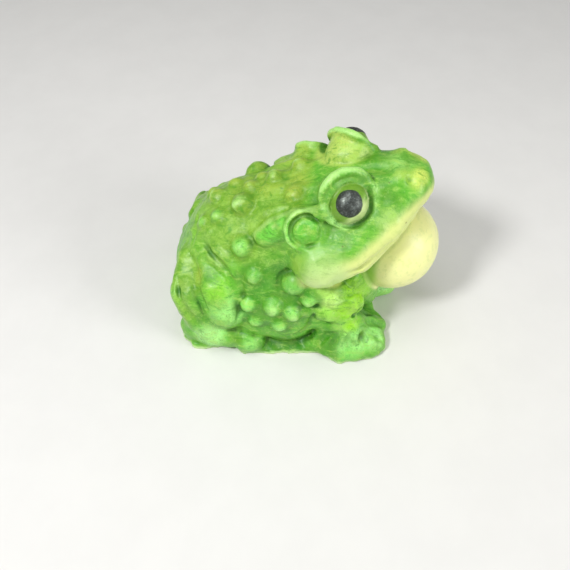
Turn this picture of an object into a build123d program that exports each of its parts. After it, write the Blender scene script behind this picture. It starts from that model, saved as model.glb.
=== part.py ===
from build123d import *
import os

# A small hand-painted toad figurine, cast in one piece with a domed bead set
# into each eye. Millimetres: +Z is up, the nose points to -Y, and the origin is
# the middle of the flat base it stands on. The toad's own left is at +X.

# Overall size
LENGTH = 43.0            # front of the throat sac to the rump
REAR_Y = LENGTH / 2
FRONT_Y = -LENGTH / 2
CUT_DEPTH = 12.0         # room below the base plane that the flat cut clears

# Throat sac: a blown-up ball under the chin
SAC_RADIUS = 7.45
SAC = ((0, FRONT_Y + SAC_RADIUS, 15.4), SAC_RADIUS)

# Rounded masses on the midline: centre, half-sizes, nose-down tilt in degrees
RUMP_RADII = (11.0, 9.4, 9.5)
TRUNK = ((0, 3.3, 10.3), (11.8, 16.2, 15.4), 0)
RUMP = ((0, REAR_Y - RUMP_RADII[1], 7.0), RUMP_RADII, 0)
SHOULDERS = ((0, -1.0, 21.0), (9.6, 8.5, 6.6), -8)
HEAD = ((0, -5.8, 24.0), (9.0, 9.0, 6.2), -18)
SNOUT = ((0, -11.6, 27.3), (5.6, 6.9, 4.5), -20)
CHEST = ((0, -7.5, 9.0), (8.5, 7.0, 9.0), 0)
BASE_LEDGE = ((0, 3.3, 0), (13.6, 17.4, 1.6), 0)
MIDLINE_MASSES = (TRUNK, RUMP, SHOULDERS, HEAD, SNOUT, CHEST, BASE_LEDGE)

# Rounded masses that come in pairs, given for the right side
BELLY_SIDE = ((-7.6, 4.2, 8.2), (5.7, 7.2, 6.6), 0)
FOREFOOT = ((-7.4, -9.3, 1.8), (6.4, 6.0, 3.4), 0)
HIND_TOES = ((-12.0, 8.0, 1.8), (2.0, 2.4, 2.2), 0)
PAIRED_MASSES = (BELLY_SIDE, FOREFOOT, HIND_TOES)

# Paired rounded bars, as (point, radius) stations from one end to the other
UPPER_JAW = (((-1.4, -15.3, 28.4), 2.25), ((-5.2, -12.3, 25.6), 2.8),
             ((-8.4, -7.4, 22.4), 3.6), ((-9.3, -3.2, 20.6), 4.2))
LOWER_LIP = (((-1.0, -14.9, 24.7), 1.4), ((-4.9, -12.7, 22.6), 1.7),
             ((-7.6, -8.5, 19.3), 2.2), ((-8.2, -5.0, 18.2), 2.6))
PAROTOID = (((-8.1, 4.1, 23.9), 2.3), ((-7.5, 0.8, 25.4), 2.15), ((-6.5, -2.1, 26.7), 1.5))
THIGH = (((-5.2, 15.2, 15.6), 2.2), ((-9.6, 12.6, 12.0), 3.6), ((-11.0, 11.8, 6.5), 3.0))
SHANK = (((-5.4, 16.8, 13.6), 2.0), ((-9.4, 16.6, 9.6), 3.1), ((-10.6, 15.8, 5.2), 2.6))
HIND_FOOT = (((-10.4, 16.5, 2.8), 3.1), ((-11.2, 13.9, 3.2), 3.0), ((-11.6, 11.4, 2.6), 2.5))
FORELEG = (((-8.4, -0.6, 14.6), 2.9), ((-9.2, -5.0, 12.6), 2.7), ((-9.0, -8.2, 9.0), 2.1),
           ((-9.3, -8.7, 5.0), 2.5))
BARS = (UPPER_JAW, LOWER_LIP, PAROTOID, THIGH, SHANK, HIND_FOOT, FORELEG)

# Eyes: a bulging lobe, a raised ring of eyelid, and the eyeball inside the ring
EYE_CENTRE = Vector(-4.7, -5.85, 28.35)
EYE_AXIS = Vector(-0.78, -0.34, 0.53).normalized()
EYE_LOBE_RADIUS = 3.9
RING_RADIUS = 3.8
RING_THICKNESS = 0.5
RING_RISE = 1.6
EYEBALL_RADIUS = 2.85
EYEBALL_RISE = 1.35

# Pupil beads: a domed dark bead on a short stem, glued into a blind socket
GAZE = Vector(-0.75, -0.12, 0.65).normalized()
PUPIL_RADIUS = 1.9
PUPIL_RIM_RISE = (EYEBALL_RADIUS**2 - PUPIL_RADIUS**2) ** 0.5
SOCKET_DEPTH = 0.8
DOME_HEIGHT = 0.8

# Right eardrum behind the eye, and the right nostril
EARDRUM = ((-8.1, -1.1, 24.5), 2.35)
NOSTRIL_CENTRE = (-2.8, -14.7, 31.4)
NOSTRIL_RADIUS = 0.55

# Warts on the right side, repeated on the left: centre and radius
WARTS = (
    ((-10.2, 0.8, 15.8), 2.0), ((-9.8, 7.2, 16.3), 1.6), ((-6.8, 9.8, 19.8), 2.1),
    ((-11.4, 3.8, 12.6), 1.6), ((-11.8, 0.6, 10.8), 1.7), ((-12.4, 2.9, 8.0), 1.6),
    ((-4.4, 1.2, 25.9), 1.6), ((-3.4, 13.4, 21.0), 1.4), ((-2.6, 9.0, 23.4), 1.8),
)
SPINE_WARTS = (((0, 5.6, 24.8), 1.6),)


def stretched_ball(mass):
    """A ball pulled out to three half-sizes, its axis along the toad and its seam below."""
    centre, radii, tilt = mass
    with BuildPart() as form:
        with Locations(Plane(origin=(0, 0, 0), x_dir=(0, 0, -1), z_dir=(0, 1, 0))):
            Sphere(1)
        scale(by=radii)
    with BuildPart() as placed:
        with Locations(Location(centre, (tilt, 0, 0))):
            add(form.part)
    return placed.part


def rounded_bar(stations):
    """Balls at the stations, joined by tapering bars."""
    with BuildPart() as bar:
        for point, radius in stations:
            with Locations(point):
                Sphere(radius)
        for (start, start_radius), (end, end_radius) in zip(stations, stations[1:]):
            run = Vector(end) - Vector(start)
            with Locations(Plane(origin=start, z_dir=run)):
                Cone(start_radius, end_radius, run.length, align=(Align.CENTER, Align.CENTER, Align.MIN))
    return bar.part


def eye_plane(axis, rise):
    """A plane facing out of the right eye along axis, rise above the eyeball's centre."""
    seat = EYE_CENTRE + EYE_AXIS * EYEBALL_RISE
    return Plane(origin=seat + axis * rise, z_dir=axis)


# Right eye: bulging lobe, eyeball and the raised ring of eyelid
with BuildPart() as eye:
    with Locations(EYE_CENTRE):
        Sphere(EYE_LOBE_RADIUS)
    with Locations(eye_plane(EYE_AXIS, 0)):
        Sphere(EYEBALL_RADIUS)
    with Locations(eye_plane(EYE_AXIS, RING_RISE - EYEBALL_RISE)):
        Torus(RING_RADIUS, RING_THICKNESS)

# What is cut out of the right side: a nostril and the blind socket of the pupil bead
with BuildPart() as nostril:
    with Locations(NOSTRIL_CENTRE):
        Sphere(NOSTRIL_RADIUS)
with BuildPart() as pupil_socket:
    with Locations(eye_plane(GAZE, PUPIL_RIM_RISE - SOCKET_DEPTH)):
        Cylinder(PUPIL_RADIUS, SOCKET_DEPTH + DOME_HEIGHT, align=(Align.CENTER, Align.CENTER, Align.MIN))

# The slab of casting that is sanded away to leave a flat base
with BuildPart() as base_cut:
    Box(3 * LENGTH, 3 * LENGTH, CUT_DEPTH, align=(Align.CENTER, Align.CENTER, Align.MAX))

# Eardrums and warts are single balls sunk into the skin
midline_pieces = [stretched_ball(mass) for mass in MIDLINE_MASSES]
midline_pieces += [rounded_bar([ball]) for ball in (SAC, *SPINE_WARTS)]
right_pieces = [stretched_ball(mass) for mass in PAIRED_MASSES]
right_pieces += [rounded_bar(stations) for stations in BARS]
right_pieces += [eye.part]
right_pieces += [rounded_bar([ball]) for ball in (EARDRUM, *WARTS)]
left_pieces = [mirror(piece, about=Plane.YZ) for piece in right_pieces]
right_cuts = [nostril.part, pupil_socket.part]
left_cuts = [mirror(cut, about=Plane.YZ) for cut in right_cuts]

with BuildPart() as toad_body:
    for piece in midline_pieces + right_pieces + left_pieces:
        add(piece, clean=False)
    for cut in right_cuts + left_cuts + [base_cut.part]:
        add(cut, mode=Mode.SUBTRACT, clean=False)
toad_body.part.label = "toad_body"

# Pupil bead: straight stem in the socket, shallow dome above the eyeball
with BuildPart() as pupil_bead:
    with BuildSketch(Plane.XZ):
        with BuildLine():
            rim = (PUPIL_RADIUS, SOCKET_DEPTH)
            crown = (0, SOCKET_DEPTH + DOME_HEIGHT)
            Polyline(crown, (0, 0), (PUPIL_RADIUS, 0), rim)
            dome_radius = (PUPIL_RADIUS**2 + DOME_HEIGHT**2) / (2 * DOME_HEIGHT)
            RadiusArc(rim, crown, -dome_radius)
        make_face()
    revolve(axis=Axis.Z)

with BuildPart() as pupil_right:
    with Locations(eye_plane(GAZE, PUPIL_RIM_RISE - SOCKET_DEPTH)):
        add(pupil_bead.part)
pupil_right.part.label = "pupil_right"

with BuildPart() as pupil_left:
    mirror(pupil_right.part, about=Plane.YZ)
pupil_left.part.label = "pupil_left"

os.makedirs("parts", exist_ok=True)
export_step(toad_body.part, "parts/toad_body.step")
export_step(pupil_right.part, "parts/pupil_right.step")
export_step(pupil_left.part, "parts/pupil_left.step")
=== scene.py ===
"""A hand-painted cast toad figurine: its sculpted skin, its two pupil beads, its paint, and a plain studio.

The sculpting is in millimetres in the CAD's own frame: +Z up, nose towards -Y, the toad's left towards +X,
origin under the middle of its box. Blender's units are metres.
"""

import math

import bpy
import numpy as np
from mathutils import Matrix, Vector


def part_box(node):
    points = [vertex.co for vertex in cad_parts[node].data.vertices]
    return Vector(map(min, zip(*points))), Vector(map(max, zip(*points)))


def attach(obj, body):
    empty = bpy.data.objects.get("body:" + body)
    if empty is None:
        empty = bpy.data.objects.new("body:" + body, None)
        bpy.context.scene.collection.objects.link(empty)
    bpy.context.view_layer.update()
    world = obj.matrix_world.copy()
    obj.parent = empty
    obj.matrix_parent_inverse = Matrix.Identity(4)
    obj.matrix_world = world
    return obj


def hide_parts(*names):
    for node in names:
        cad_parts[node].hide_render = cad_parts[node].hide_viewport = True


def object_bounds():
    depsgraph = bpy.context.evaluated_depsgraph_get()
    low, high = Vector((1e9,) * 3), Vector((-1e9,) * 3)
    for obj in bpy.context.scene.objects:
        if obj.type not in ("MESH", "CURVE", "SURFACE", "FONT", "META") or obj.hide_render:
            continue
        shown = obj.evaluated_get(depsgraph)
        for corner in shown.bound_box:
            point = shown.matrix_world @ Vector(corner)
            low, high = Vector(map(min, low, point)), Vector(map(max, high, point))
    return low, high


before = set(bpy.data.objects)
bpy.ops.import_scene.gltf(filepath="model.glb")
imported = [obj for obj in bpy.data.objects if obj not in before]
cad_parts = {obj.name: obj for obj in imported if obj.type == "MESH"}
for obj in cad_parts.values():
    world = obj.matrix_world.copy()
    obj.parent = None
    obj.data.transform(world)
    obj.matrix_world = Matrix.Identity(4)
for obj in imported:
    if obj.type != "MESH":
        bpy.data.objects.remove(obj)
CAD_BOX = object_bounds()
CAD_LENGTH = 43.0   # the CAD box's length in millimetres
UNIT = (CAD_BOX[1][1] - CAD_BOX[0][1]) / CAD_LENGTH   # metres in a millimetre
CELL = 0.25         # the size of the clay's cells
FAR = 99.0          # a distance from everything
LINE_PARTS = 4      # parts of a soft line between two given points

# ---- Clay: shapes are joined as distances on a grid, and skinned at the end ----


def between(grid, cell, part):
    """Values between a grid's points, which wrap round; part is how far into its cell each place is."""
    total = 0
    for corner in np.ndindex(2, 2, 2):
        weight = 1
        for i in range(3):
            weight = weight * (part[..., i] if corner[i] else 1 - part[..., i])
        index = (cell + corner) % grid.shape
        total = total + weight * grid[index[..., 0], index[..., 1], index[..., 2]]
    return total


def bar_gap(x, y, z, stations):
    """Distance of places from a round bar through (point, radius) stations, tapering between them."""
    best = FAR
    for (a, ra), (b, rb) in zip(stations, stations[1:]):
        a, b = np.array(a, float), np.array(b, float)
        run = b - a
        along = ((x - a[0]) * run[0] + (y - a[1]) * run[1] + (z - a[2]) * run[2]) / (run @ run)
        along = np.clip(along, 0, 1)
        gap = np.sqrt((x - a[0] - along * run[0]) ** 2 + (y - a[1] - along * run[1]) ** 2
                      + (z - a[2] - along * run[2]) ** 2)
        best = np.minimum(best, gap - (ra + (rb - ra) * along))
    return best


class Clay:
    """Distance to the sculpted skin on a regular grid, in millimetres, negative inside."""

    def __init__(self, low, high):
        self.low = np.array(low, float)
        self.count = np.ceil((np.array(high) - self.low) / CELL).astype(int) + 1
        self.distance = np.full(self.count, FAR, np.float32)
        self.axes = [(self.low[i] + CELL * np.arange(self.count[i])).astype(np.float32) for i in range(3)]

    def window(self, low, high):
        """The part of the grid between two corners: its slices and its three coordinate arrays."""
        first = np.clip(np.floor((np.array(low) - self.low) / CELL).astype(int), 0, self.count - 1)
        last = np.clip(np.ceil((np.array(high) - self.low) / CELL).astype(int) + 1, 1, self.count)
        cells = tuple(slice(a, b) for a, b in zip(first, last))
        x = self.axes[0][cells[0]][:, None, None]
        y = self.axes[1][cells[1]][None, :, None]
        z = self.axes[2][cells[2]][None, None, :]
        return cells, x, y, z

    def blend(self, cells, shape, soft, cut):
        """Join a shape to the clay, or cut it away, with an edge softened over a width."""
        old = self.distance[cells]
        new = -shape if cut else shape
        edge = np.maximum(soft - np.abs(old - new), 0) ** 2 / (4 * soft)
        self.distance[cells] = np.maximum(old, new) + edge if cut else np.minimum(old, new) - edge

    def ball(self, centre, radii, turn=None, soft=1.0, cut=False):
        """A ball pulled out to three half-sizes."""
        centre = np.array(centre, float)
        radii = np.array(radii, float) * np.ones(3)
        reach = radii.max() + soft + 1
        cells, x, y, z = self.window(centre - reach, centre + reach)
        x, y, z = x - centre[0], y - centre[1], z - centre[2]
        if turn is not None:
            x, y, z = (turn[0, i] * x + turn[1, i] * y + turn[2, i] * z for i in range(3))
        near = np.sqrt((x / radii[0]) ** 2 + (y / radii[1]) ** 2 + (z / radii[2]) ** 2)
        slope = np.sqrt((x / radii[0] ** 2) ** 2 + (y / radii[1] ** 2) ** 2 + (z / radii[2] ** 2) ** 2)
        self.blend(cells, near * (near - 1) / np.maximum(slope, 1e-6), soft, cut)

    def bar(self, stations, soft=1.0, cut=False):
        """A round bar through (point, radius) stations, tapering between them."""
        points = np.array([point for point, _ in stations], float)
        reach = max(radius for _, radius in stations) + soft + 1
        cells, x, y, z = self.window(points.min(0) - reach, points.max(0) + reach)
        self.blend(cells, bar_gap(x, y, z, stations), soft, cut)

    def ring(self, centre, axis, radius, thickness, soft=0.3, cut=False):
        """A ring about an axis."""
        centre, axis = np.array(centre, float), np.array(axis, float)
        reach = radius + thickness + soft + 1
        cells, x, y, z = self.window(centre - reach, centre + reach)
        x, y, z = x - centre[0], y - centre[1], z - centre[2]
        rise = x * axis[0] + y * axis[1] + z * axis[2]
        out = np.sqrt(np.maximum(x * x + y * y + z * z - rise * rise, 0))
        self.blend(cells, np.sqrt((out - radius) ** 2 + rise ** 2) - thickness, soft, cut)

    def read(self, points, grid=None):
        """Distance at any points, or the value there of another grid of the clay's size."""
        place = (np.asarray(points, float) - self.low) / CELL
        cell = np.clip(np.floor(place).astype(int), 0, self.count - 2)
        return between(self.distance if grid is None else grid, cell, place - cell)

    def slope(self, points):
        """Outward direction of the skin at any points."""
        sides = [self.read(points + CELL * way) - self.read(points - CELL * way) for way in np.eye(3)]
        slope = np.stack(sides, 1)
        return slope / np.maximum(np.linalg.norm(slope, axis=1, keepdims=True), 1e-9)

    def onto_skin(self, point):
        """The nearest place on the skin to a point, and the skin's direction there."""
        point = np.array([point], float)
        for _ in range(6):
            point = point - self.read(point)[:, None] * self.slope(point)
        return point[0], self.slope(point)[0]

    def knob(self, point, size, height, soft=0.8):
        """A low round swelling of the skin: its half-width and its height."""
        place, out = self.onto_skin(point)
        radius = (size ** 2 + height ** 2) / (2 * height)
        self.ball(place - (radius - height) * out, radius, soft=soft)

    def swell(self, stations, soft):
        """A long swelling of the skin through (point, radius, height) stations."""
        line = []
        for point, radius, height in stations:
            place, out = self.onto_skin(point)
            line.append((place - (radius - height) * out, radius))
        self.bar(line, soft=soft)

    def ridge(self, points, radius, rise, soft=0.6):
        """A rounded fold laid along the skin, standing a given height above it."""
        self.bar(self.laid(points, radius, rise), soft=soft)

    def crease(self, points, radius, depth, soft=0.4):
        """A rounded groove drawn along the skin to a given depth."""
        self.bar(self.laid(points, radius, -depth), soft=soft, cut=True)

    def laid(self, points, radius, rise):
        """Bar stations along the skin; the given points are put on it, and the ends taper off."""
        touched = [self.onto_skin(point) for point in points]
        places = smooth_line([place for place, _ in touched])
        outs = smooth_line([out for _, out in touched])
        stations = []
        for i, (place, out) in enumerate(zip(places, outs)):
            end = min(i, len(places) - 1 - i) / LINE_PARTS
            share = 0.45 + 0.55 * min(1, end * 1.6)
            inner = math.copysign(radius - abs(rise), rise) * share
            stations.append((place - inner * out, radius * share))
        return stations


def block(corner, size):
    """The slices of a grid that hold one corner of every cell."""
    return tuple(slice(start, start + cells) for start, cells in zip(corner, size))


def skin_of(clay):
    """Surface nets: one vertex in each cell that the skin crosses, one face across each crossed edge."""
    distance = clay.distance
    inside = distance < 0
    corners = list(np.ndindex(2, 2, 2))
    size = np.array(distance.shape) - 1
    filled = sum(inside[block(corner, size)].astype(np.int8) for corner in corners)
    crossed = (filled > 0) & (filled < 8)
    cells = np.argwhere(crossed)
    number = np.full(crossed.shape, -1)
    number[crossed] = np.arange(len(cells))
    total = np.zeros((len(cells), 3))
    hits = np.zeros(len(cells))
    for corner in corners:
        for axis in range(3):
            if corner[axis]:
                continue
            other = np.array(corner)
            other[axis] = 1
            a = distance[tuple((cells + corner).T)]
            b = distance[tuple((cells + other).T)]
            cross = (a < 0) != (b < 0)
            place = np.tile(np.array(corner, float), (len(cells), 1))
            place[:, axis] = np.where(cross, a / np.where(cross, a - b, 1), 0)
            total[cross] += place[cross]
            hits[cross] += 1
    vertices = clay.low + CELL * (cells + total / hits[:, None])
    faces = []
    for axis in range(3):
        one, two = (axis + 1) % 3, (axis + 2) % 3
        ahead = [slice(None)] * 3
        ahead[axis] = slice(1, None)
        behind = [slice(None)] * 3
        behind[axis] = slice(0, -1)
        edges = np.argwhere(inside[tuple(ahead)] != inside[tuple(behind)])
        keep = (edges[:, one] > 0) & (edges[:, two] > 0)
        keep &= (edges[:, one] < size[one]) & (edges[:, two] < size[two])
        edges = edges[keep]
        around = []
        for step_one, step_two in ((1, 1), (0, 1), (0, 0), (1, 0)):
            cell = edges.copy()
            cell[:, one] -= step_one
            cell[:, two] -= step_two
            around.append(number[tuple(cell.T)])
        around = np.stack(around, 1)
        outward = inside[tuple(edges.T)]
        around[~outward] = around[~outward][:, ::-1]
        faces.append(around)
    return vertices, np.concatenate(faces)


def smooth_line(points):
    """Points along a soft curve through the given ones."""
    points = np.array(points, float)
    padded = np.concatenate([[2 * points[0] - points[1]], points, [2 * points[-1] - points[-2]]])
    line = []
    for a, b, c, d in zip(padded, padded[1:], padded[2:], padded[3:]):
        for i in range(LINE_PARTS):
            t = i / LINE_PARTS
            line.append(0.5 * (2 * b + (c - a) * t + (2 * a - 5 * b + 4 * c - d) * t * t
                               + (3 * b - a - 3 * c + d) * t ** 3))
    line.append(points[-1])
    return line


def tilt(degrees):
    """Turn about X, nose down when negative."""
    cosine, sine = math.cos(math.radians(degrees)), math.sin(math.radians(degrees))
    return np.array([[1, 0, 0], [0, cosine, -sine], [0, sine, cosine]])


def lumps(points, size, seed):
    """Smooth random values between -1 and 1 that change over a distance of about size."""
    lattice = np.random.default_rng(seed).uniform(-1, 1, (24, 24, 24))
    place = np.asarray(points, float) / size + 7.3
    cell = np.floor(place).astype(int)
    part = place - cell
    return between(lattice, cell, part * part * (3 - 2 * part))


def unit(vector):
    """The vector at a length of 1."""
    vector = np.array(vector, float)
    return vector / np.linalg.norm(vector)


def gap_to(points, place):
    """Distance of points from a place."""
    return np.linalg.norm(points - np.array(place, float), axis=1)


# ---- The toad: a side of -1 is its right, which is given, and 1 is its left, which is mirrored ----

EYE_CENTRE = np.array((-4.7, -5.85, 28.35))
EYE_AXIS = unit((-0.78, -0.34, 0.53))
EYEBALL_RADIUS = 2.85
EYEBALL_RISE = 1.35   # from the eye's centre, along its axis
LID_RADIUS = 3.85
LID_LIFT = 0.6        # from the eye's centre, up across its axis
LOWER_LID_RISE = 1.95
SAC_CENTRE = np.array((0, -14.1, 15.4))
SAC_RADIUS = 7.45
FAR_FOLDS = (0, -0.5, -0.4)   # how far the left side's folds lie from a mirror image
FAR_WARTS = (0, 1, 0)         # and the left flank's warts


def mirrored(point, side):
    """A point of the right side, or its mirror image on the left."""
    return np.array((-side * point[0], point[1], point[2]), float)


def both(stations, side):
    """Bar stations on either side."""
    return [(mirrored(point, side), radius) for point, radius in stations]


def flip(points, side):
    """Points on either side."""
    return [mirrored(point, side) for point in points]


def on_left(shift, side):
    """A shift that only the left side has."""
    return np.array(shift, float) * (side == 1)


UPPER_JAW = (
    ((-1.4, -15.3, 28.4), 2.25), ((-5.2, -12.3, 25.6), 2.8), ((-8.4, -7.4, 22.4), 3.6),
    ((-9.3, -3.2, 20.6), 4.2),
)
LOWER_LIP = (
    ((-1, -14.9, 24.7), 1.4), ((-4.9, -12.7, 22.6), 1.7), ((-7.6, -8.5, 19.3), 2.2), ((-8.2, -5, 18.2), 2.6),
)
BELLY = (((-7.3, 2, 8.8), 5.6), ((-7.4, 6, 9.2), 5.4), ((-7.3, 6.4, 5.6), 5.5), ((-7.2, 2, 5.4), 5.7))
PAROTOID = (
    ((-8.1, 5.4, 23.2), 1.9, 1.2), ((-8.2, 3.9, 24.9), 2.1, 1.5), ((-8.4, 2.2, 26.6), 2, 1.5),
    ((-7.9, 0.6, 27.7), 1.5, 1.1), ((-7.3, -1.2, 28.4), 1.1, 0.6),
)
FAR_GLAND = (((-9.3, 4.2, 23.7), 3, 1.2), ((-8.8, 2.8, 24.8), 3, 1.2), ((-8, 1.2, 26), 3, 1.2))
EARDRUM = (-8.95, -0.95, 26.1)
EARDRUM_AXIS = unit((-0.78, 0.06, 0.62))
THIGH = (((-5.2, 15.2, 15.6), 2.2), ((-9.6, 12.6, 12), 3.6), ((-10.9, 11.4, 8.4), 3.3))
SHANK = (((-5.4, 17.6, 14), 2), ((-9.4, 17.2, 10.4), 3.2), ((-11, 16.2, 6.8), 2.7))
HIND_FOOT = (((-10.4, 16.5, 2.8), 3.1), ((-11.2, 13.9, 3.2), 3.1), ((-11.6, 11.4, 2.6), 2.6))
UPPER_ARM = (((-8.4, -0.6, 14.6), 2.9), ((-9.2, -5.2, 13), 2.7), ((-8.7, -8.5, 10.2), 2))
FOREARM = (
    ((-10.4, -1.8, 10.6), 1.8), ((-10.6, -5, 10), 1.8), ((-10, -7.9, 8), 1.7), ((-9.6, -8.4, 5.6), 2.4),
)
ELBOW = (((-9.2, -1.4, 7.4), 2), ((-9.4, -4.6, 6), 2), ((-9.6, -7.4, 5), 2))
CHEST = (((-6.6, -8, 14), 1.9), ((-5.6, -9.8, 11), 1.9), ((-4.6, -11.2, 7.6), 1.7))
BASE_OUTLINE = (
    (0, 21.2), (-4.6, 21.1), (-8.7, 20.4), (-11.7, 19.2), (-13.6, 17.3), (-14.2, 15.1), (-13.5, 13.1),
    (-12.8, 10.9), (-14.1, 8.6), (-13.9, 5.4), (-13.3, 1.6), (-13.1, -1), (-12.8, -4.6), (-14, -6.2),
    (-14.5, -7.8), (-13.8, -9), (-13, -10.6), (-13, -12.6), (-12.4, -14.3), (-10.8, -15.2),
    (-9.4, -14.9), (-8.4, -14.5), (-7.2, -15.2), (-5.6, -15.4), (-4.2, -14.4), (-3, -13.3),
    (-1.4, -12.9), (0, -12.8),
)
WRIST = (-9.8, -8.2, 5.4)
FINGERS = (
    (-11.4, -2.6, 1), (-12.2, -5.2, 1), (-13, -7.6, 1.1), (-12.1, -10, 1.1), (-11.4, -12.6, 1.1),
    (-10, -13.6, 1.1), (-6.4, -13.9, 1.2),
)
FAR_FINGER = (
    ((8, -10.4, 1.8), 2.4), ((4.4, -13.3, 1.6), 1.7), ((1.8, -15.3, 1.4), 1.35), ((0.6, -12, 1.6), 1.8),
)


def masses(clay):
    """The plain masses of the trunk and the head."""
    clay.ball((0, 3.5, 10.3), (11.8, 16.4, 15.4), soft=0.5)
    clay.ball((0, 12, 7), (11, 9.5, 9.5), soft=3)
    clay.ball((0, -1, 21), (9.6, 8.5, 6.6), tilt(-8), soft=3)
    clay.ball((0, -6.5, 9.5), (8.2, 7, 9), soft=2)
    for side in (-1, 1):
        clay.bar(both(BELLY, side), soft=1.2)
    clay.ball((0, -5.8, 24), (9, 9, 6.2), tilt(-18), soft=2)
    clay.ball((0, -11.6, 27.3), (5.6, 6.9, 4.5), tilt(-20), soft=2)


def head(clay, side):
    """The jaws, the line of the mouth and the fold below it."""
    clay.bar(both(UPPER_JAW, side), soft=1.5)
    clay.bar(both(LOWER_LIP, side), soft=0.6)
    mouth = ((-1.5, -17.4, 27), (-4, -15.9, 26), (-6.6, -13.6, 24.6), (-9.4, -10, 23),
             (-11.4, -7, 21.6))
    clay.crease(flip(mouth, side), 0.6, 0.35, soft=0.5)
    lip_fold = ((-2.4, -17.2, 25.6), (-5.2, -15.2, 24.4), (-7.8, -12.2, 22.4), (-9.6, -8.8, 20))
    clay.ridge(flip(lip_fold, side), 0.7, 0.2, soft=0.8)


def eye_place(side):
    """An eye's centre, and the axis that it faces along."""
    return mirrored(EYE_CENTRE, side), mirrored(EYE_AXIS, side)


def eye_forward(axis):
    """Towards the nose, in the plane that an axis faces out of."""
    return unit(np.array((0, -1, 0)) + axis[1] * axis)


def eye_up(axis):
    """Up, in the plane that an axis faces out of."""
    up = np.cross(axis, eye_forward(axis))
    return up * np.sign(up[2])


def lid_line(centre, axis, places):
    """Bar stations round an axis, from (degrees, radius, thickness, rise); 0 is forward and 90 is up."""
    stations = []
    for degrees, radius, thickness, rise in places:
        turn = math.radians(degrees)
        along = math.cos(turn) * eye_forward(axis) + math.sin(turn) * eye_up(axis)
        stations.append((centre + rise * axis + radius * along, thickness))
    return stations


def eye(clay, side):
    """A round lobe hollowed into a socket, with a rim of lid, a thick upper lid and the eyeball in it."""
    centre, axis = eye_place(side)
    lid_centre = centre + LID_LIFT * eye_up(axis)
    lobe_radius, ahead, stretch = (3.75, 0.15, 0.2) if side == -1 else (3.95, 0.6, -0.25)
    clay.ball(lid_centre - 0.1 * axis + ahead * eye_forward(axis), lobe_radius, soft=0.3)
    for first, last, rise, soft in ((20, 210, 1.5, 0.8), (200, 390, LOWER_LID_RISE, 0.25)):
        rim = []
        for degrees in range(first, last + 1, 10):
            top = max(0, math.cos(math.radians(degrees - 110)))
            radius = LID_RADIUS - 0.1 * top + stretch * math.cos(math.radians(degrees - 165))
            rim.append((degrees, radius, 0.4 + 0.28 * top, rise + 0.55 * top))
        clay.bar(lid_line(lid_centre, axis, rim), soft=soft)
    clay.ball(centre + 4.4 * axis + 0.3 * LID_LIFT * eye_up(axis), 4, soft=0.3, cut=True)
    groove = [(degrees, 3.25, 0.3, 2.2) for degrees in range(225, 421, 15)]
    clay.bar(lid_line(centre, axis, groove), soft=0.2, cut=True)
    crescent = []
    for degrees in range(50, 231, 15):
        middle = math.sin(math.radians(degrees - 50))
        crescent.append((degrees, 3.2, 0.3 + 0.28 * middle, 1.75 + 0.2 * middle))
    clay.bar(lid_line(centre, axis, crescent), soft=0.25)
    wrinkle = ((80, 4.1, 0.3, 2.1), (60, 4, 0.32, 1.9), (40, 3.9, 0.3, 1.6))
    clay.bar(lid_line(lid_centre, axis, wrinkle), soft=0.25)
    clay.ball(centre + EYEBALL_RISE * axis, EYEBALL_RADIUS, soft=0.25)


def glands(clay, side):
    """The long gland behind the eye, and the eardrum with the fold that holds it."""
    stations, soft = (PAROTOID, 0.35) if side == -1 else (FAR_GLAND, 1)
    clay.swell([(mirrored(point, side), radius, height) for point, radius, height in stations], soft)
    place, axis = mirrored(EARDRUM, side), mirrored(EARDRUM_AXIS, side)
    clay.ball(place - 3.4 * axis, 4, soft=1.0)
    arc = [(degrees, 2.65, 0.35 + 0.4 * math.sin(math.radians((degrees - 50) * 180 / 230)), -0.2)
           for degrees in range(50, 281, 15)]
    clay.bar(lid_line(place, axis, arc), soft=0.6)
    clay.ring(place + 0.3 * axis, axis, 2.15, 0.36, soft=0.25, cut=True)
    turn = np.stack([eye_forward(axis), eye_up(axis), axis], 1)
    clay.ball(place - 0.1 * axis, (1.95, 1.95, 0.95), turn, soft=0.3)
    clay.ball(place + 2.9 * axis - 0.2 * eye_forward(axis), 2.4, soft=0.3, cut=True)
    whorl = [(degrees, 1.15 - degrees / 560, 0.22, 0.4) for degrees in range(0, 540, 30)]
    clay.bar(lid_line(place - 0.3 * eye_forward(axis), axis, whorl), soft=0.3)


def legs(clay, side):
    """The hind leg and foot, the chest, and the foreleg with its hand and fingers."""
    clay.bar(both(THIGH, side), soft=1.0)
    clay.bar(both(SHANK, side), soft=0.8)
    clay.ball(mirrored((-10.6, 14.6, 5.6), side), 3.3, soft=1.0)
    clay.bar(both(HIND_FOOT, side), soft=0.9)
    clay.ball(mirrored((-12.1, 7.8, 1.9), side), (2.3, 2.9, 2.4), soft=0.4)
    clay.bar(both(CHEST, side), soft=1.0)
    clay.bar(both(ELBOW, side), soft=1.2)
    clay.bar(both(FOREARM, side), soft=0.45)
    clay.bar(both(UPPER_ARM, side), soft=0.5)
    clay.ball(mirrored((-8.7, -9.3, 1.2), side), (4.9, 5.3, 3.4), soft=1.2)
    for tip in FINGERS:
        clay.bar([(mirrored(WRIST, side), 2.1), (mirrored(tip, side), 1.2)], soft=1.4)


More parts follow.
